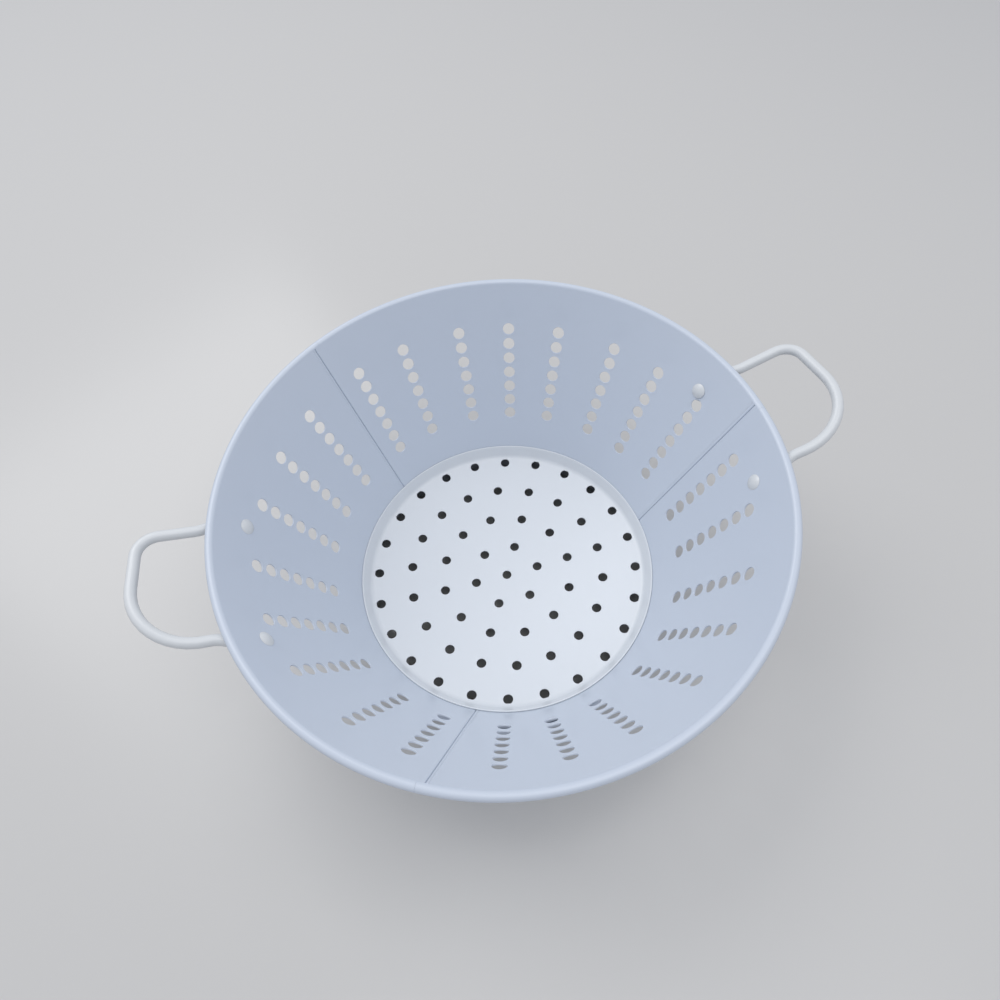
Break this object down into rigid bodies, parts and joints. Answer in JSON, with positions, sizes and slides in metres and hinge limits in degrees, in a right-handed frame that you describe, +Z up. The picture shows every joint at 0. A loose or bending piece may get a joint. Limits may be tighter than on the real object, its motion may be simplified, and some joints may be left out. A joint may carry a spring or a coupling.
{
  "type": "footed enamel colander",
  "caption": "Footed enamel colander: seamed conical bowl with punched columns of drain holes, perforated dished pan, foot ring and two riveted wire handles.",
  "frame": {"origin": "centre of the circle on which the foot rests, on the bowl's axis", "axes": "+Z up along the bowl's axis; +X towards the right handle; +Y to the back, away from the viewer"},
  "size_m": [0.3279, 0.261, 0.1189],
  "materials": {
    "wall_enamel": "glossy mottled vitreous enamel, pale blue-white with grey spots, worn to dark iron at holes and rim",
    "pan_enamel": "glossy mottled vitreous enamel, white with grey spots, rust where it is chipped",
    "foot_enamel": "glossy mottled vitreous enamel, worn along the resting edge",
    "handle_enamel": "glossy white vitreous enamel with grey spots on wire",
    "rivet_enamel": "white vitreous enamel, worn grey round the head",
    "rim_wire_steel": "plain drawn iron wire"
  },
  "bodies": {
    "root": {"wall_panel_back": "wall_enamel", "wall_panel_left": "wall_enamel", "wall_panel_front": "wall_enamel", "bottom_pan": "pan_enamel", "foot_ring": "foot_enamel", "rim_wire": "rim_wire_steel", "handle_right": "handle_enamel", "handle_left": "handle_enamel", "rivet_right_back": "rivet_enamel", "rivet_right_front": "rivet_enamel", "rivet_left_back": "rivet_enamel", "rivet_left_front": "rivet_enamel"}
  },
  "joints": []
}
